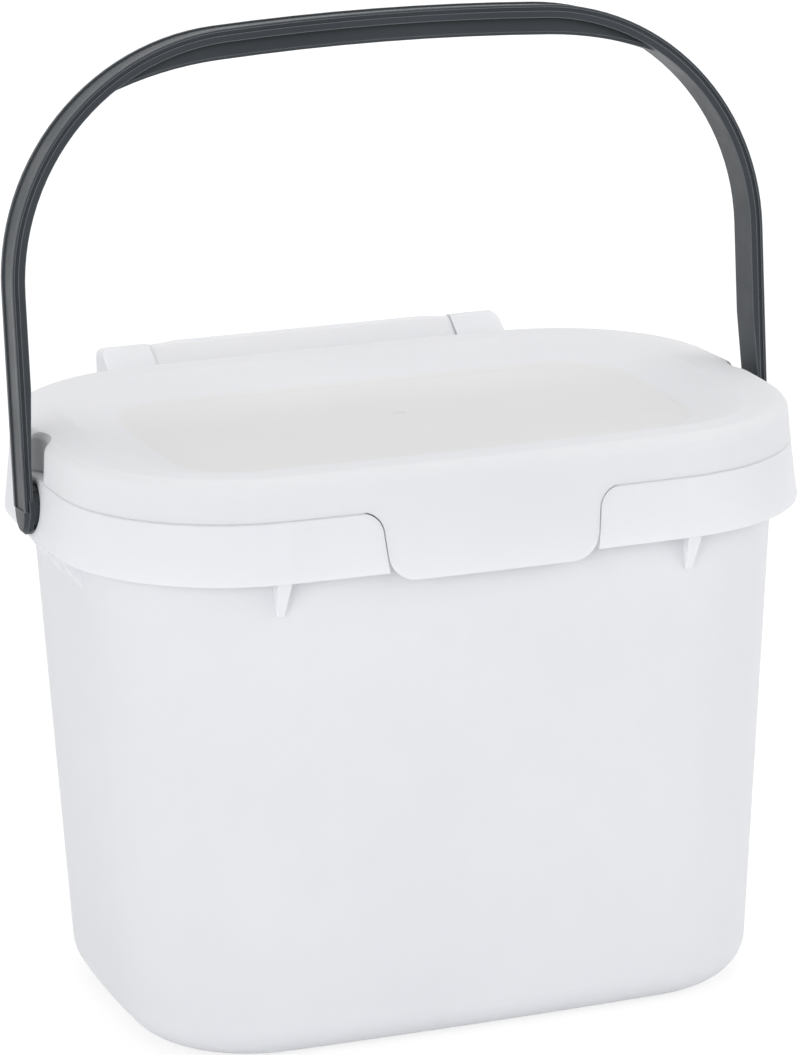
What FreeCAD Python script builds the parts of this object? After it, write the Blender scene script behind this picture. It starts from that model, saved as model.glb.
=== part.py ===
import FreeCAD, Part
import math
import os

from FreeCAD import Vector

# Kitchen compost caddy: a tapered tub with an overhanging band, a dished lid on a
# rear hinge, and a carry handle that swings on two side pivots.
# Millimetres. The origin is on the floor under the middle of the tub, +Z is up,
# +X is to the right and -Y is the front.

# Band round the top of the tub, measured on its lower edge, which is the widest outline
BAND_HALF_X = 122.3
BAND_HALF_Y = 84.3
BAND_CORNER = 58.7
SIDE_BOW = 495.0
FRONT_BOW = 1949.0
BAND_LOW_Z = 158.5
SEAM_Z = 177.3
SEAM_INSET = 2.2
BAND_WALL = 1.8
LEDGE_THICK = 1.6
BAND_CHAMFER = 0.5

# Tub: its mouth lies inside the band by the ledge widths, and it tapers evenly to the floor
LEDGE_X = 8.1
LEDGE_Y = 5.3
MOUTH_CORNER = 51.5
TUB_TAPER = 9.8
TUB_WALL = 1.8
TUB_FLOOR = 2.4
BASE_ROUND = 12.8
INNER_ROUND_STEPS = 3
FOOT_GROOVE_INSET = 19.0
FOOT_GROOVE_WIDTH = 5.0
FOOT_GROOVE_DEPTH = 0.8

# Gussets between the wall of the tub and the inside of the band
RIB_WIDTH = 4.4
RIB_TIP_WIDTH = 2.2
RIB_LENGTH = 11.8
RIB_NOSE = 0.9
FRONT_RIB_X = 66.7
SIDE_RIB_Y = (-21.0, 0.0, 21.0)

# Notch in the front of the band and the finger tab of the lid that fills it
NOTCH_HALF = 34.0
NOTCH_DRAFT = 0.104
NOTCH_FLARE = 7.0
TAB_GAP = 0.4
TAB_DROP = 2.8
TAB_CORNER = 9.0

# Lid
LID_GAP = 0.15
LID_HEIGHT = 12.7
LID_DRAFT = 0.085
LID_WALL = 1.8
LID_EDGE_ROUND = 4.0
DISH_RIM_X = 18.7
DISH_RIM_Y = 15.9
DISH_RIM_CORNER = 36.0
DISH_FLOOR_X = 37.3
DISH_FLOOR_Y = 36.3
DISH_CORNER = 22.0
DISH_SHIFT_Y = -5.0
DISH_DEPTH = 4.5
GATE_RADIUS = 2.2
GATE_DEPTH = 0.4
SPIGOT_GAP = 0.8
SPIGOT_WALL = 1.5
SPIGOT_DEPTH = 4.8

# Clearance scoops in the sides of the lid, beside the handle legs
SCOOP_RADIUS = 12.0
SCOOP_DEPTH = 4.4
SCOOP_FLARE = 1.0

# Lid hinge, placed from the back of the band and the top of the lid
HINGE_BACK = 11.7
HINGE_DROP = 1.6
BARREL_RADIUS = 3.7
FLAP_RISE = 0.6
FLAP_HALF = 44.0
STRIP_HALF = 53.0
STRIP_TOP_DROP = 4.0
STRIP_THICK = 3.4
STRIP_FLAT = 2.5
HINGE_PIN_RADIUS = 2.5
HINGE_PIN_LENGTH = 9.5
HINGE_FIT = 0.05
LUG_SIDE_GAP = 0.3
LUG_WIDTH = 16.8
LUG_RADIUS = 4.3
LUG_CORNER = 2.5
LUG_LID_GAP = 1.4
LUG_HEEL = 1.2
LUG_FOOT = 5.0
PIN_END_GAP = 1.0

# Carry handle
PIVOT_Z = 168.0
HANDLE_GAP = 0.3
STRAP_THICK = 4.2
STRAP_WIDTH = 13.0
RELIEF_DEPTH = 1.35
RELIEF_LOW = 14.0
RELIEF_HIGH = 38.0
HANDLE_HEIGHT = 145.2
SHOULDER_RADIUS = 76.7
CROWN_RADIUS = 884.0
HANDLE_LEAN = 4.2
TONGUE_DROP = 8.5
TONGUE_LENGTH = 8.0
TONGUE_CHAMFER = 1.3
STRAP_RIM = 1.6
FIELD_DEPTH = 0.5
GROOVE_WIDTH = 1.1
GROOVE_DEPTH = 0.5
GRIP_DEPTH = 9.7
GRIP_WIDTH = 8.8
GRIP_HALF = 55.0
GRIP_END_RADIUS = 120.0
GRIP_CHAMFER = 1.0
HUB_RADIUS = 7.0
RECESS_GAP = 0.8
PIVOT_BOSS_RADIUS = 8.8
PIVOT_BOSS_FACE = 4.3
PIVOT_PIN_RADIUS = 3.0
PIVOT_PIN_LENGTH = 4.6
PIVOT_FIT = 0.05

# How far a cutter runs past the face that it cuts
EXTRA = 1.0

# Places that follow from the sizes above
LID_TOP_Z = SEAM_Z + LID_HEIGHT
TAB_LOW_Z = BAND_LOW_Z - TAB_DROP
HINGE_Y = BAND_HALF_Y + HINGE_BACK
HINGE_Z = LID_TOP_Z - HINGE_DROP
MOUTH_HALF_X = BAND_HALF_X - LEDGE_X
MOUTH_HALF_Y = BAND_HALF_Y - LEDGE_Y
LEG_INNER_X = BAND_HALF_X + HANDLE_GAP
HANDLE_HALF_X = LEG_INNER_X + STRAP_THICK - RELIEF_DEPTH
FAR = 2.0 * HANDLE_HALF_X


def band_inset(z):
    """Inward draft at height z of the band and, above the seam, of the lid."""
    if z > SEAM_Z:
        return SEAM_INSET + LID_DRAFT * (z - SEAM_Z)
    return SEAM_INSET * (z - BAND_LOW_Z) / (SEAM_Z - BAND_LOW_Z)


def bowed_outline(half_x, half_y, corner, z, shift_y=0.0):
    """Closed outline of eight tangent arcs: bowed sides, bowed front and back, round corners."""
    side = SIDE_BOW - (BAND_HALF_X - half_x)
    front = FRONT_BOW - (BAND_HALF_Y - half_y)
    side_x = half_x - side
    front_y = half_y - front
    span = math.hypot(side_x, front_y)
    along = ((side - corner) ** 2 - (front - corner) ** 2 + span ** 2) / (2.0 * span)
    off = math.sqrt((side - corner) ** 2 - along ** 2)
    corner_x = side_x - (along * side_x + off * front_y) / span
    corner_y = (along * front_y - off * side_x) / span
    low = math.atan2(corner_y, corner_x - side_x)
    high = math.atan2(corner_y - front_y, corner_x)
    half_turn = math.pi
    arcs = (
        (side_x, 0.0, side, -low, low),
        (corner_x, corner_y, corner, low, high),
        (0.0, front_y, front, high, half_turn - high),
        (-corner_x, corner_y, corner, half_turn - high, half_turn - low),
        (-side_x, 0.0, side, half_turn - low, half_turn + low),
        (-corner_x, -corner_y, corner, half_turn + low, half_turn + high),
        (0.0, -front_y, front, half_turn + high, 2.0 * half_turn - high),
        (corner_x, -corner_y, corner, 2.0 * half_turn - high, 2.0 * half_turn - low),
    )
    edges = []
    for x, y, radius, start, end in arcs:
        circle = Part.Circle(Vector(x, y + shift_y, z), Vector(0, 0, 1), radius)
        edges.append(Part.ArcOfCircle(circle, start, end).toShape())
    return Part.Wire(edges)


def loft(*wires):
    return Part.makeLoft(list(wires), True, True)


def body_ring(z, inset):
    """Outline of the tapered tub at height z, moved inward by inset."""
    total = TUB_TAPER * (1.0 - z / SEAM_Z) + inset
    return bowed_outline(MOUTH_HALF_X - total, MOUTH_HALF_Y - total, MOUTH_CORNER - total, z)


def band_ring(z, inset=0.0):
    """Outline of the band and of the lid skirt at height z, moved inward by inset."""
    total = band_inset(z) + inset
    return bowed_outline(BAND_HALF_X - total, BAND_HALF_Y - total, BAND_CORNER - total, z)


def edges_at(shape, z):
    """The edges that lie wholly at height z."""
    return [e for e in shape.Edges
            if abs(e.BoundBox.ZMin - z) < 1e-4 and abs(e.BoundBox.ZMax - z) < 1e-4]


def prism_y(points, y_from, y_to):
    """Closed outline of lines and arcs in XZ, swept from y_from to y_to.
    Each item is (x, z), or (x, z, mx, mz) for an arc that comes from the last point by the middle."""
    face = Part.Face(outline(points, lambda a, b: Vector(a, y_from, b)))
    return face.extrude(Vector(0, y_to - y_from, 0))


def prism_x(points, x_from, x_to):
    """Closed outline of lines and arcs in YZ, swept from x_from to x_to."""
    face = Part.Face(outline(points, lambda a, b: Vector(x_from, a, b)))
    return face.extrude(Vector(x_to - x_from, 0, 0))


def outline(points, place):
    edges = []
    previous = points[-1]
    for item in points:
        start = place(previous[0], previous[1])
        end = place(item[0], item[1])
        if len(item) == 4:
            edges.append(Part.Arc(start, place(item[2], item[3]), end).toShape())
        else:
            edges.append(Part.LineSegment(start, end).toShape())
        previous = item
    return Part.Wire(edges)


def mirrored(shape):
    return shape.mirror(Vector(0, 0, 0), Vector(1, 0, 0))


def both_sides(shape):
    return [shape, mirrored(shape)]


def cylinder_x(radius, x_from, x_to, y, z):
    return Part.makeCylinder(radius, x_to - x_from, Vector(x_from, y, z), Vector(1, 0, 0))


def on_circle(cy, cz, radius, degrees):
    a = math.radians(degrees)
    return (cy + radius * math.cos(a), cz + radius * math.sin(a))


def notch_half(z):
    return NOTCH_HALF + NOTCH_DRAFT * (z - BAND_LOW_Z)


# ---------------------------------------------------------------- tub

def tub_body():
    body = loft(body_ring(0.0, 0.0), body_ring(SEAM_Z, 0.0))
    return body.makeFillet(BASE_ROUND, edges_at(body, 0.0))


def tub_cavity():
    """Inside of the tub, with its floor rounded into the wall in even steps."""
    radius = BASE_ROUND - TUB_WALL
    rings = []
    for step in range(INNER_ROUND_STEPS + 1):
        angle = math.radians(90.0 * step / INNER_ROUND_STEPS)
        z = TUB_FLOOR + radius * (1.0 - math.cos(angle))
        rings.append(body_ring(z, TUB_WALL + radius * (1.0 - math.sin(angle))))
    rings.append(body_ring(SEAM_Z + EXTRA, TUB_WALL))
    return loft(*rings)


def notch_cutter():
    """The front notch of the band: drafted sides that flare out to the seam."""
    turn_z = SEAM_Z - NOTCH_FLARE
    half = notch_half(turn_z)
    low_z = BAND_LOW_Z - EXTRA
    low = notch_half(low_z)
    out = half + NOTCH_FLARE
    s = NOTCH_FLARE * math.sqrt(0.5)
    points = [
        (-out, SEAM_Z + EXTRA),
        (out, SEAM_Z + EXTRA),
        (out, SEAM_Z),
        (half, turn_z, out - s, turn_z + s),
        (low, low_z),
        (-low, low_z),
        (-half, turn_z),
        (-out, SEAM_Z, -out + s, turn_z + s),
    ]
    return prism_y(points, -FAR, 0.0)


def rib_prisms():
    """Upright tapered fins, swept right across the tub, that the gusset space is cut with."""
    top = RIB_WIDTH / 2.0
    tip = RIB_TIP_WIDTH / 2.0
    low_z = BAND_LOW_Z - RIB_LENGTH
    points = [
        (-top, SEAM_Z - LEDGE_THICK / 2.0),
        (top, SEAM_Z - LEDGE_THICK / 2.0),
        (top, BAND_LOW_Z),
        (tip, low_z),
        (-tip, low_z),
        (-top, BAND_LOW_Z),
    ]
    across = prism_y(points, -FAR, FAR)
    along = across.copy()
    along.rotate(Vector(0, 0, 0), Vector(0, 0, 1), 90.0)
    fins = [across.translated(Vector(x, 0, 0)) for x in (-FRONT_RIB_X, FRONT_RIB_X)]
    return fins + [along.translated(Vector(0, y, 0)) for y in SIDE_RIB_Y]


def gussets():
    nose = body_ring(BAND_LOW_Z - RIB_LENGTH, -RIB_NOSE)
    lower = loft(nose, band_ring(BAND_LOW_Z, BAND_WALL / 2.0))
    upper = loft(band_ring(BAND_LOW_Z, BAND_WALL / 2.0), band_ring(SEAM_Z, BAND_WALL / 2.0))
    space = lower.fuse(upper)
    fins = rib_prisms()
    return fins[0].multiFuse(fins[1:]).common(space)


def boss_face_x():
    return BAND_HALF_X - PIVOT_BOSS_FACE


def band():
    shell = loft(band_ring(BAND_LOW_Z), band_ring(SEAM_Z))
    shell = shell.makeChamfer(BAND_CHAMFER, edges_at(shell, SEAM_Z))
    hollow = loft(band_ring(BAND_LOW_Z - EXTRA, BAND_WALL), band_ring(SEAM_Z - LEDGE_THICK, BAND_WALL))
    return shell.cut(hollow).cut(notch_cutter())


def lug():
    """Rear hinge lug on the right-hand side, rounded at its top outer corner."""
    x_from = STRIP_HALF + LUG_SIDE_GAP
    x_to = x_from + LUG_WIDTH
    front = BAND_HALF_Y - SEAM_INSET + LUG_LID_GAP - 0.7
    root = BAND_HALF_Y - SEAM_INSET - BAND_WALL - 0.4
    nose = on_circle(HINGE_Y, HINGE_Z, LUG_RADIUS, 125.0)
    crown = on_circle(HINGE_Y, HINGE_Z, LUG_RADIUS, 62.0)
    back = HINGE_Y + LUG_RADIUS
    low_z = BAND_LOW_Z + LUG_FOOT
    top_z = HINGE_Z + LUG_RADIUS
    profile = prism_x([
        (root, low_z),
        (root, SEAM_Z - LEDGE_THICK / 2.0),
        (front, SEAM_Z + LUG_LID_GAP / 2.0),
        (front, LID_TOP_Z - STRIP_TOP_DROP - LUG_LID_GAP),
        (nose[0], nose[1]),
        (back, HINGE_Z, crown[0], crown[1]),
        (back, SEAM_Z + LUG_HEEL),
        (BAND_HALF_Y - BAND_WALL, low_z),
    ], x_from, x_to)
    bend = LUG_CORNER * (1.0 - math.sqrt(0.5))
    face = prism_y([
        (x_from, low_z - EXTRA),
        (x_to, low_z - EXTRA),
        (x_to, top_z - LUG_CORNER),
        (x_to - LUG_CORNER, top_z, x_to - bend, top_z - bend),
        (x_from, top_z),
    ], 0.0, FAR)
    return profile.common(face)


def lug_bore():
    x_from = STRIP_HALF + LUG_SIDE_GAP
    depth = HINGE_PIN_LENGTH + PIN_END_GAP - LUG_SIDE_GAP
    return cylinder_x(HINGE_PIN_RADIUS + HINGE_FIT, x_from - EXTRA, x_from + depth, HINGE_Y, HINGE_Z)


def pivot_boss():
    root = MOUTH_HALF_X - 2.0 * TUB_WALL
    return cylinder_x(PIVOT_BOSS_RADIUS, root, boss_face_x(), 0.0, PIVOT_Z)


def pivot_recess():
    return cylinder_x(HUB_RADIUS + RECESS_GAP, boss_face_x(), FAR, 0.0, PIVOT_Z)


def pivot_bore():
    face = boss_face_x()
    depth = PIVOT_PIN_LENGTH + HANDLE_GAP
    return cylinder_x(PIVOT_PIN_RADIUS + PIVOT_FIT, face - depth, face + EXTRA, 0.0, PIVOT_Z)


def foot_groove():
    outer = body_ring(0.0, FOOT_GROOVE_INSET)
    inner = body_ring(0.0, FOOT_GROOVE_INSET + FOOT_GROOVE_WIDTH)
    up = Vector(0, 0, FOOT_GROOVE_DEPTH)
    return Part.Face(outer).extrude(up).cut(Part.Face(inner).extrude(up))


def make_tub():
    skirt = band().fuse(gussets())
    for cutter in both_sides(pivot_recess()):
        skirt = skirt.cut(cutter)
    added = [skirt] + both_sides(pivot_boss()) + both_sides(lug())
    tub = tub_body().multiFuse(added)
    tub = tub.cut(tub_cavity())
    for cutter in both_sides(lug_bore()) + both_sides(pivot_bore()):
        tub = tub.cut(cutter)
    return tub.cut(foot_groove()).removeSplitter()


# ---------------------------------------------------------------- lid

def lid_low_z():
    return SEAM_Z + LID_GAP


def tab_prism():
    """Front outline of the finger tab, a running gap smaller than the notch."""
    turn_z = SEAM_Z - NOTCH_FLARE
    half = notch_half(turn_z) - TAB_GAP
    radius = NOTCH_FLARE + TAB_GAP
    out = half + radius
    s = radius * math.sqrt(0.5)
    corner_z = TAB_LOW_Z + TAB_CORNER
    side = notch_half(corner_z) - TAB_GAP
    flat = side - TAB_CORNER
    c = TAB_CORNER * math.sqrt(0.5)
    points = [
        (-out, LID_TOP_Z),
        (out, LID_TOP_Z),
        (out, turn_z + radius),
        (half, turn_z, out - s, turn_z + s),
        (side, corner_z),
        (flat, TAB_LOW_Z, flat + c, corner_z - c),
        (-flat, TAB_LOW_Z),
        (-side, corner_z, -flat - c, corner_z - c),
        (-half, turn_z),
        (-out, turn_z + radius, -out + s, turn_z + s),
    ]
    return prism_y(points, -FAR, 0.0)


def lid_blank():
    """Drafted block of the lid with its rounded top edge; only the tab goes below the seam."""
    block = loft(band_ring(TAB_LOW_Z - EXTRA), band_ring(SEAM_Z), band_ring(LID_TOP_Z))
    block = block.makeFillet(LID_EDGE_ROUND, edges_at(block, LID_TOP_Z))
    below = Part.makeBox(2 * FAR, 2 * FAR, lid_low_z(), Vector(-FAR, -FAR, 0))
    return block.cut(below.cut(tab_prism()))


def dish(drop):
    """Shallow tray sunk in the top of the lid, with its faces lowered by drop."""
    grow = 1.0 + EXTRA / DISH_DEPTH
    floor_x = BAND_HALF_X - DISH_FLOOR_X
    floor_y = BAND_HALF_Y - DISH_FLOOR_Y
    wide_x = floor_x + (DISH_FLOOR_X - DISH_RIM_X) * grow
    wide_y = floor_y + (DISH_FLOOR_Y - DISH_RIM_Y) * grow
    corner = DISH_CORNER + (DISH_RIM_CORNER - DISH_CORNER) * grow
    shift = DISH_SHIFT_Y * (1.0 - grow)
    floor = bowed_outline(floor_x, floor_y, DISH_CORNER, LID_TOP_Z - DISH_DEPTH, DISH_SHIFT_Y)
    tray = loft(floor, bowed_outline(wide_x, wide_y, corner, LID_TOP_Z + EXTRA, shift))
    return tray.translated(Vector(0, 0, -drop))


def scoop(grow):
    """Upright round clearance beside the right-hand handle leg, flared at the top of the lid."""
    radius = SCOOP_RADIUS + grow
    centre_x = BAND_HALF_X - SEAM_INSET - SCOOP_DEPTH + SCOOP_RADIUS
    flare_z = LID_TOP_Z - 2.0 * SCOOP_FLARE
    well = Part.makeCylinder(radius, LID_TOP_Z - BAND_LOW_Z, Vector(centre_x, 0, BAND_LOW_Z))
    mouth = Part.makeCone(radius, radius + 2.0 * SCOOP_FLARE, 4.0 * SCOOP_FLARE, Vector(centre_x, 0, flare_z))
    return well.fuse(mouth)


def lid_hollow():
    top = LID_TOP_Z - LID_WALL
    low = band_ring(TAB_LOW_Z - 2 * EXTRA, LID_WALL)
    space = loft(low, band_ring(SEAM_Z, LID_WALL), band_ring(top, LID_WALL))
    space = space.cut(dish(LID_WALL))
    for keep in both_sides(scoop(LID_WALL)):
        space = space.cut(keep)
    return space


def spigot():
    """Ring under the lid that centres it in the mouth of the tub."""
    low = SEAM_Z - SPIGOT_DEPTH
    inset = TUB_WALL + SPIGOT_GAP
    height = LID_TOP_Z - LID_WALL / 2.0 - low

    def block(extra):
        total = inset + extra
        ring = bowed_outline(MOUTH_HALF_X - total, MOUTH_HALF_Y - total, MOUTH_CORNER - total, low)
        return Part.Face(ring).extrude(Vector(0, 0, height))

    return block(0.0).cut(block(SPIGOT_WALL))


def strip_profile(x, radius):
    """Section at x of the web and barrel along the rear of the lid."""
    root = BAND_HALF_Y - SEAM_INSET - 3.0 * LID_WALL
    top_z = LID_TOP_Z - STRIP_TOP_DROP
    low_z = top_z - STRIP_THICK
    flat_y = BAND_HALF_Y + STRIP_FLAT
    nose = on_circle(HINGE_Y, HINGE_Z, radius, 125.0)
    back = on_circle(HINGE_Y, HINGE_Z, radius, 0.0)
    points = [
        (root, low_z),
        (root, top_z),
        (flat_y, top_z),
        (nose[0], nose[1]),
        (HINGE_Y, HINGE_Z - BARREL_RADIUS, back[0], back[1]),
        (flat_y + (HINGE_Y - flat_y) * 0.4, low_z),
    ]
    return outline(points, lambda y, z: Vector(x, y, z))


def hinge_strip():
    """Web and barrel, with a raised flap between ramps along the middle."""
    raised = BARREL_RADIUS + FLAP_RISE
    return loft(
        strip_profile(-STRIP_HALF, BARREL_RADIUS),
        strip_profile(-FLAP_HALF, raised),
        strip_profile(FLAP_HALF, raised),
        strip_profile(STRIP_HALF, BARREL_RADIUS),
    )


def hinge_pin():
    return cylinder_x(HINGE_PIN_RADIUS, STRIP_HALF - EXTRA, STRIP_HALF + HINGE_PIN_LENGTH, HINGE_Y, HINGE_Z)


def gate_mark():
    floor = LID_TOP_Z - DISH_DEPTH
    return Part.makeCylinder(GATE_RADIUS, GATE_DEPTH + EXTRA, Vector(0, 0, floor - GATE_DEPTH))


def make_lid():
    lid = lid_blank().fuse(hinge_strip())
    lid = lid.cut(lid_hollow()).cut(dish(0.0)).cut(gate_mark())
    for cutter in both_sides(scoop(0.0)):
        lid = lid.cut(cutter)
    lid = lid.multiFuse([spigot()] + both_sides(hinge_pin()))
    return lid.removeSplitter()


# ---------------------------------------------------------------- handle

def arch_edges(offset, low):
    """Arch line at an offset inward of the outer face: leg, shoulder, crown, shoulder, leg."""
    half = HANDLE_HALF_X
    centre_x = half - SHOULDER_RADIUS
    crown_z = PIVOT_Z + HANDLE_HEIGHT - CROWN_RADIUS
    centre_z = crown_z + math.sqrt((CROWN_RADIUS - SHOULDER_RADIUS) ** 2 - centre_x ** 2)
    join = math.atan2(centre_z - crown_z, centre_x)
    r = SHOULDER_RADIUS - offset
    big = CROWN_RADIUS - offset
    leg = Vector(half - offset, 0, low)
    start = Vector(half - offset, 0, centre_z)
    mid = Vector(centre_x + r * math.cos(join / 2), 0, centre_z + r * math.sin(join / 2))
    end = Vector(centre_x + r * math.cos(join), 0, centre_z + r * math.sin(join))
    top = Vector(0, 0, crown_z + big)
    flip = Vector(-1, 1, 1)

    def other(p):
        return Vector(p.x * flip.x, p.y, p.z)

    return [
        Part.LineSegment(leg, start).toShape(),
        Part.Arc(start, mid, end).toShape(),
        Part.Arc(end, top, other(end)).toShape(),
        Part.Arc(other(end), other(mid), other(start)).toShape(),
        Part.LineSegment(other(start), other(leg)).toShape(),
    ]


def arch_band(out_offset, in_offset, low, y_from, y_to):
    """Arch-shaped slab between two offsets and two depths."""
    half = HANDLE_HALF_X
    outer = arch_edges(out_offset, low)
    inner = arch_edges(in_offset, low)

    def foot(sign):
        a = Vector(sign * (half - out_offset), 0, low)
        b = Vector(sign * (half - in_offset), 0, low)
        return Part.LineSegment(a, b).toShape()

    wire = Part.Wire(Part.__sortEdges__(outer + inner + [foot(1), foot(-1)]))
    slab = Part.Face(wire).extrude(Vector(0, y_to - y_from, 0))
    return slab.translated(Vector(0, y_from, 0))


def relief():
    """Room on the inner side of the right-hand leg, so that it swings clear of the band."""
    edge = STRAP_WIDTH / 2.0 + EXTRA
    inner = LEG_INNER_X - RELIEF_DEPTH
    return prism_y([
        (inner - EXTRA, PIVOT_Z - TONGUE_DROP),
        (LEG_INNER_X, PIVOT_Z - TONGUE_DROP),
        (LEG_INNER_X, PIVOT_Z + RELIEF_LOW),
        (inner, PIVOT_Z + RELIEF_HIGH),
        (inner - EXTRA, PIVOT_Z + RELIEF_HIGH),
    ], -edge, edge)


def strap():
    edge = STRAP_WIDTH / 2.0
    low = PIVOT_Z - TONGUE_DROP + TONGUE_LENGTH
    solid = arch_band(0.0, STRAP_THICK, low, -edge, edge)
    field = edge - STRAP_RIM
    near = (STRAP_THICK - RELIEF_DEPTH - GROOVE_WIDTH) / 2.0
    far = near + GROOVE_WIDTH
    cutters = both_sides(relief()) + [
        arch_band(-EXTRA, FIELD_DEPTH, low, -field, field),
        arch_band(near, far, low, -edge - EXTRA, -edge + GROOVE_DEPTH),
        arch_band(near, far, low, edge - GROOVE_DEPTH, edge + EXTRA),
    ]
    for cutter in cutters:
        solid = solid.cut(cutter)
    return solid


def lower_edges(web, edge, crown_z):
    """The two long edges along the underside of the web, at y = -edge and y = edge."""
    big = CROWN_RADIUS - GRIP_DEPTH
    found = []
    for item in web.Edges:
        box = item.BoundBox
        flat = abs(abs(box.YMin) - edge) < 1e-4 and abs(box.YMax - box.YMin) < 1e-4
        middle = item.valueAt(0.5 * (item.FirstParameter + item.LastParameter))
        if flat and math.hypot(middle.x, middle.z - crown_z) < big + 1e-3:
            found.append(item)
    return found


def grip():
    """Crescent web under the crown that fills the hand."""
    edge = GRIP_WIDTH / 2.0
    inner = arch_edges(STRAP_THICK - 0.2, PIVOT_Z)
    a = inner[0].Vertexes[0].Point
    b = Vector(-a.x, a.y, a.z)
    room = Part.Face(Part.Wire(Part.__sortEdges__(inner + [Part.LineSegment(a, b).toShape()])))
    big = CROWN_RADIUS - GRIP_DEPTH
    crown_z = PIVOT_Z + HANDLE_HEIGHT - CROWN_RADIUS
    turn = math.asin(GRIP_HALF / big)
    end_x = (big - GRIP_END_RADIUS) * math.sin(turn)
    end_z = crown_z + (big - GRIP_END_RADIUS) * math.cos(turn)
    fall = math.radians(60.0)

    def on_end(angle, sign):
        x = end_x + GRIP_END_RADIUS * math.sin(angle)
        return Vector(sign * x, 0, end_z + GRIP_END_RADIUS * math.cos(angle))

    top = Vector(0, 0, crown_z + big)
    half = 0.5 * (turn + fall)
    right = [on_end(fall, 1), on_end(half, 1), on_end(turn, 1)]
    left = [on_end(turn, -1), on_end(half, -1), on_end(fall, -1)]
    foot_r = Vector(right[0].x, 0, PIVOT_Z - EXTRA)
    foot_l = Vector(left[2].x, 0, PIVOT_Z - EXTRA)
    wire = Part.Wire([
        Part.Arc(right[0], right[1], right[2]).toShape(),
        Part.Arc(right[2], top, left[0]).toShape(),
        Part.Arc(left[0], left[1], left[2]).toShape(),
        Part.LineSegment(left[2], foot_l).toShape(),
        Part.LineSegment(foot_l, foot_r).toShape(),
        Part.LineSegment(foot_r, right[0]).toShape(),
    ])
    face = room.cut(Part.Face(wire))
    web = face.extrude(Vector(0, GRIP_WIDTH, 0)).translated(Vector(0, -edge, 0))
    return web.makeChamfer(GRIP_CHAMFER, lower_edges(web, edge, crown_z))


def leg_end():
    """Round-ended tongue, hub and pin at the foot of the right-hand leg."""
    top = PIVOT_Z - TONGUE_DROP + TONGUE_LENGTH
    thick = STRAP_THICK - RELIEF_DEPTH
    side = Vector(LEG_INNER_X, STRAP_WIDTH / 2.0, top)
    ellipse = Part.Ellipse(Vector(LEG_INNER_X, 0, top - TONGUE_LENGTH), side, Vector(LEG_INNER_X, 0, top))
    arc = Part.ArcOfEllipse(ellipse, -math.pi / 2, math.pi / 2).toShape()
    ends = [v.Point for v in arc.Vertexes]
    chord = Part.LineSegment(ends[1], ends[0]).toShape()
    tongue = Part.Face(Part.Wire([arc, chord])).extrude(Vector(thick, 0, 0))
    rim = [e for e in tongue.Edges if e.BoundBox.XMin > LEG_INNER_X + thick / 2.0 and e.BoundBox.ZMin < top - 1.0]
    tongue = tongue.makeChamfer(TONGUE_CHAMFER, rim)
    hub_face = boss_face_x() + HANDLE_GAP
    hub = cylinder_x(HUB_RADIUS, hub_face, LEG_INNER_X + thick / 2.0, 0.0, PIVOT_Z)
    pin = cylinder_x(PIVOT_PIN_RADIUS, hub_face - PIVOT_PIN_LENGTH, hub_face + EXTRA, 0.0, PIVOT_Z)
    return tongue.multiFuse([hub, pin])


def make_handle():
    handle = strap().multiFuse([grip()] + both_sides(leg_end()))
    handle = handle.removeSplitter()
    handle.rotate(Vector(0, 0, PIVOT_Z), Vector(1, 0, 0), -HANDLE_LEAN)
    return handle


def main():
    os.makedirs("parts", exist_ok=True)
    nodes = {"tub": make_tub(), "lid": make_lid(), "handle": make_handle()}
    for name, shape in nodes.items():
        solids = shape.Solids
        print(name, "solids", len(solids), "valid", shape.isValid(), "volume cm3", round(shape.Volume / 1000.0, 1))
        solid = solids[0] if len(solids) == 1 else shape
        solid.exportStep("parts/%s.step" % name)


main()
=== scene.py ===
import math

import bpy
from mathutils import Matrix, Vector

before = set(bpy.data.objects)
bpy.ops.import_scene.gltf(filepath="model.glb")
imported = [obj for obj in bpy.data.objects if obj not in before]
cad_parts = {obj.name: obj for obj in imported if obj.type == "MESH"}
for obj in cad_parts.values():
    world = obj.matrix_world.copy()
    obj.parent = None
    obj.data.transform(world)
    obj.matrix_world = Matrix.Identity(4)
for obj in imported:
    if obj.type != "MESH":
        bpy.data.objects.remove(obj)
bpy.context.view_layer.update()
scene = bpy.context.scene

# Lengths are in metres, angles in degrees, colours linear and lamp power in watts.


# ---------------------------------------------------------------- shader nodes

def new_material(name):
    mat = bpy.data.materials.new(name)
    mat.use_nodes = True
    nodes = mat.node_tree.nodes
    return mat, nodes, mat.node_tree.links, nodes["Principled BSDF"]


def feed(links, sockets, values):
    """Each value is a socket to link, or a constant to set."""
    for socket, value in zip(sockets, values):
        if isinstance(value, bpy.types.NodeSocket):
            links.new(value, socket)
        else:
            socket.default_value = value


def math_node(nodes, links, operation, *values, clamp=False):
    node = nodes.new("ShaderNodeMath")
    node.operation = operation
    node.use_clamp = clamp
    feed(links, node.inputs, values)
    return node.outputs[0]


def vector_node(nodes, links, operation, *values):
    node = nodes.new("ShaderNodeVectorMath")
    node.operation = operation
    feed(links, node.inputs, values)
    is_number = operation in ("DOT_PRODUCT", "LENGTH")
    return node.outputs["Value" if is_number else "Vector"]


def split(nodes, links, vector):
    node = nodes.new("ShaderNodeSeparateXYZ")
    links.new(vector, node.inputs[0])
    return node.outputs


def mix_colour(nodes, links, kind, fac, first, second):
    node = nodes.new("ShaderNodeMix")
    node.data_type = "RGBA"
    node.blend_type = kind
    # 0 is the factor; 6, 7 and output 2 are the colour sockets of the Mix node.
    feed(links, (node.inputs[0], node.inputs[6], node.inputs[7]), (fac, first, second))
    return node.outputs[2]


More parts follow.
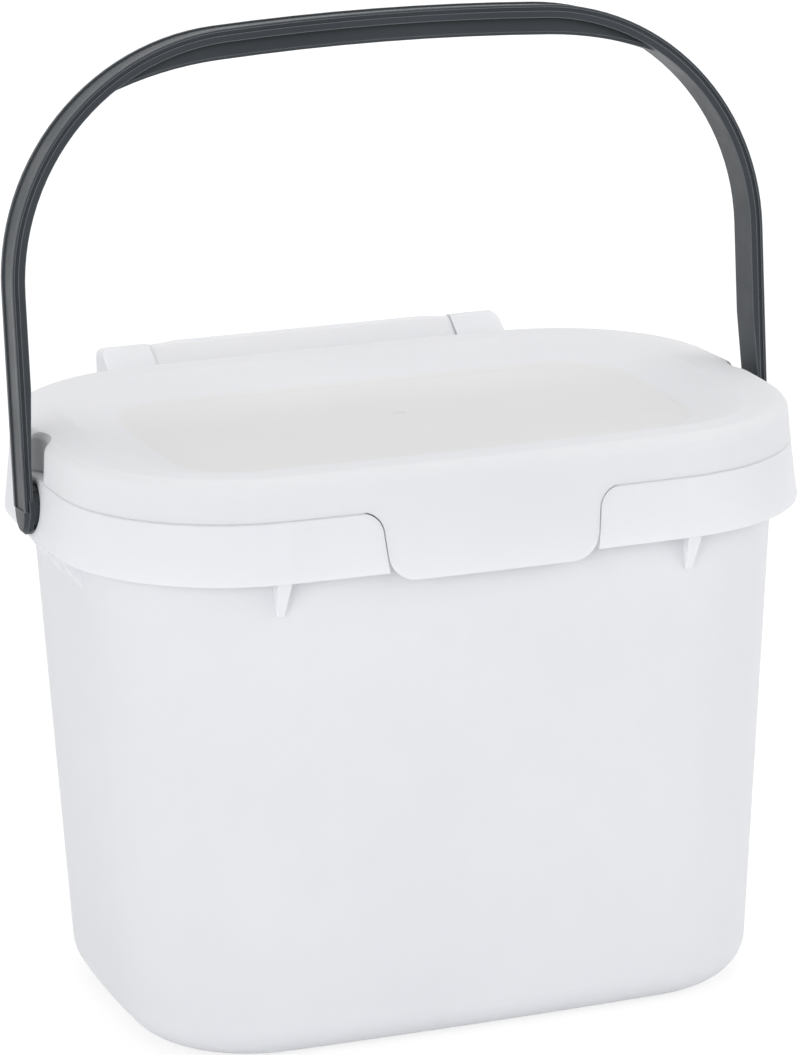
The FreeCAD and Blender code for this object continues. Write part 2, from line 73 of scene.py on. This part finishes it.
def mix_shader(nodes, links, fac, first, second):
    node = nodes.new("ShaderNodeMixShader")
    feed(links, node.inputs, (fac, first, second))
    return node.outputs[0]


def remap(nodes, links, value, from_min, from_max, to_min=0.0, to_max=1.0):
    node = nodes.new("ShaderNodeMapRange")
    node.inputs["From Min"].default_value = from_min
    node.inputs["From Max"].default_value = from_max
    node.inputs["To Min"].default_value = to_min
    node.inputs["To Max"].default_value = to_max
    links.new(value, node.inputs["Value"])
    return node.outputs["Result"]


def ramp(nodes, links, fac, stops):
    node = nodes.new("ShaderNodeValToRGB")
    for element, (position, colour) in zip(node.color_ramp.elements, stops):
        element.position = position
        element.color = (*colour, 1.0)
    links.new(fac, node.inputs["Fac"])
    return node.outputs["Color"]


def noise(nodes, links, coords, scale, detail, rough=0.5):
    tex = nodes.new("ShaderNodeTexNoise")
    tex.inputs["Scale"].default_value = scale
    tex.inputs["Detail"].default_value = detail
    tex.inputs["Roughness"].default_value = rough
    links.new(coords, tex.inputs["Vector"])
    return tex.outputs["Fac"]


def bump(nodes, links, height, strength, distance, normal=None):
    node = nodes.new("ShaderNodeBump")
    node.inputs["Strength"].default_value = strength
    node.inputs["Distance"].default_value = distance
    links.new(height, node.inputs["Height"])
    if normal is not None:
        links.new(normal, node.inputs["Normal"])
    return node.outputs["Normal"]


def occlusion(nodes, reach):
    node = nodes.new("ShaderNodeAmbientOcclusion")
    node.samples = 8
    node.inputs["Distance"].default_value = reach
    return node.outputs["AO"]


def rounded_normal(nodes, radius):
    node = nodes.new("ShaderNodeBevel")
    node.samples = 8
    node.inputs["Radius"].default_value = radius
    return node.outputs["Normal"]


# ---------------------------------------------------------------- materials

HANDLE_PIVOT = (0.0, 0.0, 0.168)
HANDLE_LEAN = 4.2
WEB_HALF = 0.0044               # the grip's web is 8.8 mm thick, under a 13 mm strap
WEB_MARGIN = 0.0003
# Painted shade: the grip's web under the overhanging strap is darkened where ambient occlusion
# finds it shut in.
WEB_PAINTED_SHADE_REACH = 0.006
WEB_PAINTED_SHADE = [(0.40, (0.02, 0.02, 0.02)), (0.90, (1.0, 1.0, 1.0))]
EDGE_RADIUS = 0.0006
EDGE_TURN = (0.99, 0.93)        # cosines, from where the painted highlight starts to where it is full
EDGE_OPEN = (0.75, 0.92)        # only edges that stand free get the painted highlight
EDGE_OPEN_REACH = 0.0012
# Painted highlight: free convex edges, found where the bevel normal turns from the true normal,
# are lightened to this colour.
EDGE_PAINTED_HIGHLIGHT = (0.150, 0.160, 0.175)


def painted_edge_highlight_and_web_shade(nodes, links, tone, place, rounded):
    """Painted highlights on the free edges, and painted shade on the web under the overhanging
    strap.
    """
    lean = math.radians(HANDLE_LEAN)
    across = (0.0, math.cos(lean), -math.sin(lean))
    from_pivot = vector_node(nodes, links, "SUBTRACT", place, HANDLE_PIVOT)
    depth = vector_node(nodes, links, "DOT_PRODUCT", from_pivot, across)
    depth = math_node(nodes, links, "ABSOLUTE", depth)
    on_web = math_node(nodes, links, "COMPARE", depth, WEB_HALF, WEB_MARGIN)
    # Painted shade on the web under the strap, darker where ambient occlusion is stronger.
    painted_web_shade = ramp(nodes, links, occlusion(nodes, WEB_PAINTED_SHADE_REACH), WEB_PAINTED_SHADE)
    tone = mix_colour(nodes, links, "MULTIPLY", on_web, tone, painted_web_shade)
    # Painted highlight on the free edges, where the rounded normal turns away from the true one.
    true_normal = nodes.new("ShaderNodeNewGeometry").outputs["Normal"]
    turn = vector_node(nodes, links, "DOT_PRODUCT", rounded, true_normal)
    on_edge = remap(nodes, links, turn, *EDGE_TURN)
    free = remap(nodes, links, occlusion(nodes, EDGE_OPEN_REACH), *EDGE_OPEN)
    painted_highlight_mask = math_node(nodes, links, "MULTIPLY", on_edge, free)
    return mix_colour(nodes, links, "MIX", painted_highlight_mask, tone, (*EDGE_PAINTED_HIGHLIGHT, 1.0))


TOP_LEVEL = (0.90, 0.97)        # cosines of the slope, from the edge of the top to all of it
# Painted light: the lid's up-facing top is made a little lighter and bluer than its skirt.
TOP_PAINTED_LIGHT = (1.037, 1.037, 1.052)
DISH_HEIGHT = (0.1862, 0.1857)  # the dish's floor is at 0.1855
DISH_END_Y = (0.07, 0.06)       # the hinge strip behind this is as low as the dish's floor
# Painted shade: the floor of the lid's dish is made greyer and warmer.
DISH_PAINTED_SHADE = (0.982, 0.972, 0.948)


def painted_top_light_and_dish_shade(nodes, links, tone, place):
    """Painted light and shade: the lid's top is painted a little lighter than its skirt, and the
    floor of its dish painted greyer.
    """
    at = split(nodes, links, place)
    facing = split(nodes, links, nodes.new("ShaderNodeTexCoord").outputs["Normal"])
    level = remap(nodes, links, facing["Z"], *TOP_LEVEL)
    low = remap(nodes, links, at["Z"], *DISH_HEIGHT)
    ahead = remap(nodes, links, at["Y"], *DISH_END_Y)
    on_floor = math_node(nodes, links, "MULTIPLY", low, ahead)
    on_floor = math_node(nodes, links, "MULTIPLY", on_floor, level)
    # Painted light on the up-facing top.
    tone = mix_colour(nodes, links, "MULTIPLY", level, tone, (*TOP_PAINTED_LIGHT, 1.0))
    # Painted shade on the dish's floor.
    return mix_colour(nodes, links, "MULTIPLY", on_floor, tone, (*DISH_PAINTED_SHADE, 1.0))


CLOUD_SCALE = 14.0              # patches of tone, some 70 mm across
CLOUD_ENDS = (0.30, 0.70)
SHEEN_SCALE = 55.0              # patches of roughness, some 18 mm across
SHEEN_ENDS = (0.3, 0.7)
FLOW_SCALE = 30.0               # ripple left by the flow into the mould
FLOW_HEIGHT = 0.0006
GRAIN_SCALE = 2600.0            # spark-eroded grain of the mould
GRAIN_HEIGHT = 0.00006
SCATTER = 0.60
SCATTER_DEPTH = 0.003
SCATTER_COLOUR = (1.0, 0.95, 0.9)


def moulded_plastic(name, dark, light, rough, grain, flow, gloss, white=True, has_dish=False):
    """Injection-moulded plastic: a white one scatters light; a dark one gets painted edge
    highlights and painted shade on its web; the lid gets painted top light and dish shade.
    """
    mat, nodes, links, shader = new_material(name)
    place = nodes.new("ShaderNodeTexCoord").outputs["Object"]
    cloud = noise(nodes, links, place, CLOUD_SCALE, 3.0, 0.55)
    tone = ramp(nodes, links, cloud, list(zip(CLOUD_ENDS, (dark, light))))
    normal = None
    if white:
        shader.inputs["Subsurface Weight"].default_value = SCATTER
        shader.inputs["Subsurface Radius"].default_value = SCATTER_COLOUR
        shader.inputs["Subsurface Scale"].default_value = SCATTER_DEPTH
    else:
        normal = rounded_normal(nodes, EDGE_RADIUS)
        tone = painted_edge_highlight_and_web_shade(nodes, links, tone, place, normal)
    if has_dish:
        tone = painted_top_light_and_dish_shade(nodes, links, tone, place)
    links.new(tone, shader.inputs["Base Color"])
    sheen = noise(nodes, links, place, SHEEN_SCALE, 3.0, 0.6)
    links.new(remap(nodes, links, sheen, *SHEEN_ENDS, *rough), shader.inputs["Roughness"])
    shader.inputs["Specular IOR Level"].default_value = gloss
    ripple = noise(nodes, links, place, FLOW_SCALE, 1.0)
    normal = bump(nodes, links, ripple, flow, FLOW_HEIGHT, normal)
    speckle = noise(nodes, links, place, GRAIN_SCALE, 2.0)
    normal = bump(nodes, links, speckle, grain, GRAIN_HEIGHT, normal)
    links.new(normal, shader.inputs["Normal"])
    return mat


def dress(name, material):
    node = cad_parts[name]
    node.data.materials.clear()
    node.data.materials.append(material)


dress("tub", moulded_plastic(
    "tub_white_plastic", dark=(0.812, 0.814, 0.841), light=(0.838, 0.840, 0.866),
    rough=(0.50, 0.62), grain=0.35, flow=0.10, gloss=0.40))
dress("lid", moulded_plastic(
    "lid_white_plastic", dark=(0.802, 0.803, 0.822), light=(0.830, 0.831, 0.848),
    rough=(0.68, 0.80), grain=0.35, flow=0.10, gloss=0.35, has_dish=True))
dress("handle", moulded_plastic(
    "handle_slate_plastic", dark=(0.031, 0.037, 0.043), light=(0.040, 0.047, 0.054),
    rough=(0.32, 0.44), grain=0.45, flow=0.12, gloss=0.22, white=False))


# ---------------------------------------------------------------- floor and light

FLOOR_RADIUS = 4.0
FLOOR_Z = -0.0002               # just under the foot, so that the two don't flicker
FLOOR_TONE = 0.90               # what the floor reflects on the object
FLOOR_SEEN_TONE = 0.34          # what takes the shadow in the picture
FLOOR_GLOW = (0.75, 0.92)       # what makes it white in the picture, near and far
FLOOR_GLOW_REACH = (0.3, 1.6)
SKY_COLOUR = (0.97, 0.985, 1.0)
SKY_STRENGTH = 0.50
DAYLIGHT = (0.98, 0.99, 1.0)
WARM = (1.0, 0.98, 0.94)
MIDDLE = (0.0, 0.0, 0.13)


def grey(tone):
    return (tone, tone, tone, 1.0)


def looking_ray(nodes, links):
    """1 for a ray from the camera, or one that a glossy or clear surface sends on."""
    path = nodes.new("ShaderNodeLightPath").outputs
    seen = math_node(nodes, links, "ADD", path["Is Camera Ray"], path["Is Glossy Ray"],
                     clamp=True)
    return math_node(nodes, links, "ADD", seen, path["Is Transmission Ray"], clamp=True)


def white_floor():
    mat, nodes, links, shader = new_material("studio_floor")
    nodes.remove(shader)
    lit = nodes.new("ShaderNodeBsdfDiffuse")
    lit.inputs["Color"].default_value = grey(FLOOR_TONE)
    shaded = nodes.new("ShaderNodeBsdfDiffuse")
    shaded.inputs["Color"].default_value = grey(FLOOR_SEEN_TONE)
    position = nodes.new("ShaderNodeNewGeometry").outputs["Position"]
    reach = vector_node(nodes, links, "LENGTH", position)
    glow = nodes.new("ShaderNodeEmission")
    links.new(remap(nodes, links, reach, *FLOOR_GLOW_REACH, *FLOOR_GLOW), glow.inputs["Strength"])
    seen = nodes.new("ShaderNodeAddShader")
    feed(links, seen.inputs, (shaded.outputs[0], glow.outputs[0]))
    surface = mix_shader(nodes, links, looking_ray(nodes, links), lit.outputs[0], seen.outputs[0])
    links.new(surface, nodes["Material Output"].inputs["Surface"])
    return mat


def make_floor():
    bpy.ops.mesh.primitive_circle_add(vertices=96, radius=FLOOR_RADIUS, fill_type="NGON",
                                      location=(0, 0, FLOOR_Z))
    floor = bpy.context.object
    floor.name = "studio_floor"
    floor.data.materials.append(white_floor())


def make_world():
    world = bpy.data.worlds.new("studio")
    scene.world = world
    world.use_nodes = True
    nodes, links = world.node_tree.nodes, world.node_tree.links
    sky = nodes["Background"]
    sky.inputs["Color"].default_value = (*SKY_COLOUR, 1.0)
    sky.inputs["Strength"].default_value = SKY_STRENGTH
    white = nodes.new("ShaderNodeBackground")
    white.inputs["Color"].default_value = grey(1.0)
    surface = mix_shader(nodes, links, looking_ray(nodes, links), sky.outputs[0],
                         white.outputs[0])
    links.new(surface, nodes["World Output"].inputs["Surface"])


def softbox(name, place, width, height, watts, colour):
    data = bpy.data.lights.new(name, "AREA")
    data.shape = "RECTANGLE"
    data.size = width
    data.size_y = height
    data.energy = watts
    data.color = colour
    lamp = bpy.data.objects.new(name, data)
    scene.collection.objects.link(lamp)
    lamp.location = place
    to_middle = Vector(MIDDLE) - Vector(place)
    lamp.rotation_euler = to_middle.to_track_quat("-Z", "Y").to_euler()


make_floor()
make_world()
softbox("front_left", (-1.32, -1.06, 0.50), 1.1, 0.9, 10.6, DAYLIGHT)
softbox("front_right", (1.15, -0.95, 0.60), 1.0, 1.2, 7.3, DAYLIGHT)
softbox("overhead", (0.1, 0.35, 1.6), 1.3, 1.0, 8.6, WARM)


# ---------------------------------------------------------------- camera

# Fitted to the photograph: the turn is from the front, and the shifts are in the picture's plane.
CAMERA_TURN = -19.9
CAMERA_RISE = 15.41
CAMERA_ROLL = -1.0
CAMERA_TARGET = (0.0, 0.0, 0.1045)
CAMERA_ACROSS = -0.00101
CAMERA_ABOVE = 0.04175
CAMERA_AWAY = 1.5106
CAMERA_LENS = 160.13            # mm, on a sensor 36 mm wide


def make_camera():
    turn, rise, roll = (math.radians(a) for a in (CAMERA_TURN, CAMERA_RISE, CAMERA_ROLL))
    away = Vector((math.sin(turn) * math.cos(rise), -math.cos(turn) * math.cos(rise),
                   math.sin(rise)))
    level_right = Vector((math.cos(turn), math.sin(turn), 0.0))
    level_up = away.cross(level_right)
    right = math.cos(roll) * level_right + math.sin(roll) * level_up
    up = -math.sin(roll) * level_right + math.cos(roll) * level_up
    place = (Vector(CAMERA_TARGET) + CAMERA_ACROSS * right + CAMERA_ABOVE * up
             + CAMERA_AWAY * away)
    data = bpy.data.cameras.new("camera")
    data.sensor_width = 36.0
    data.lens = CAMERA_LENS
    data.clip_start = 0.05
    data.clip_end = 20.0
    camera = bpy.data.objects.new("camera", data)
    scene.collection.objects.link(camera)
    turned = Matrix((right, up, away)).transposed()
    camera.matrix_world = Matrix.Translation(place) @ turned.to_4x4()
    scene.camera = camera


make_camera()
scene.view_settings.view_transform = "Standard"
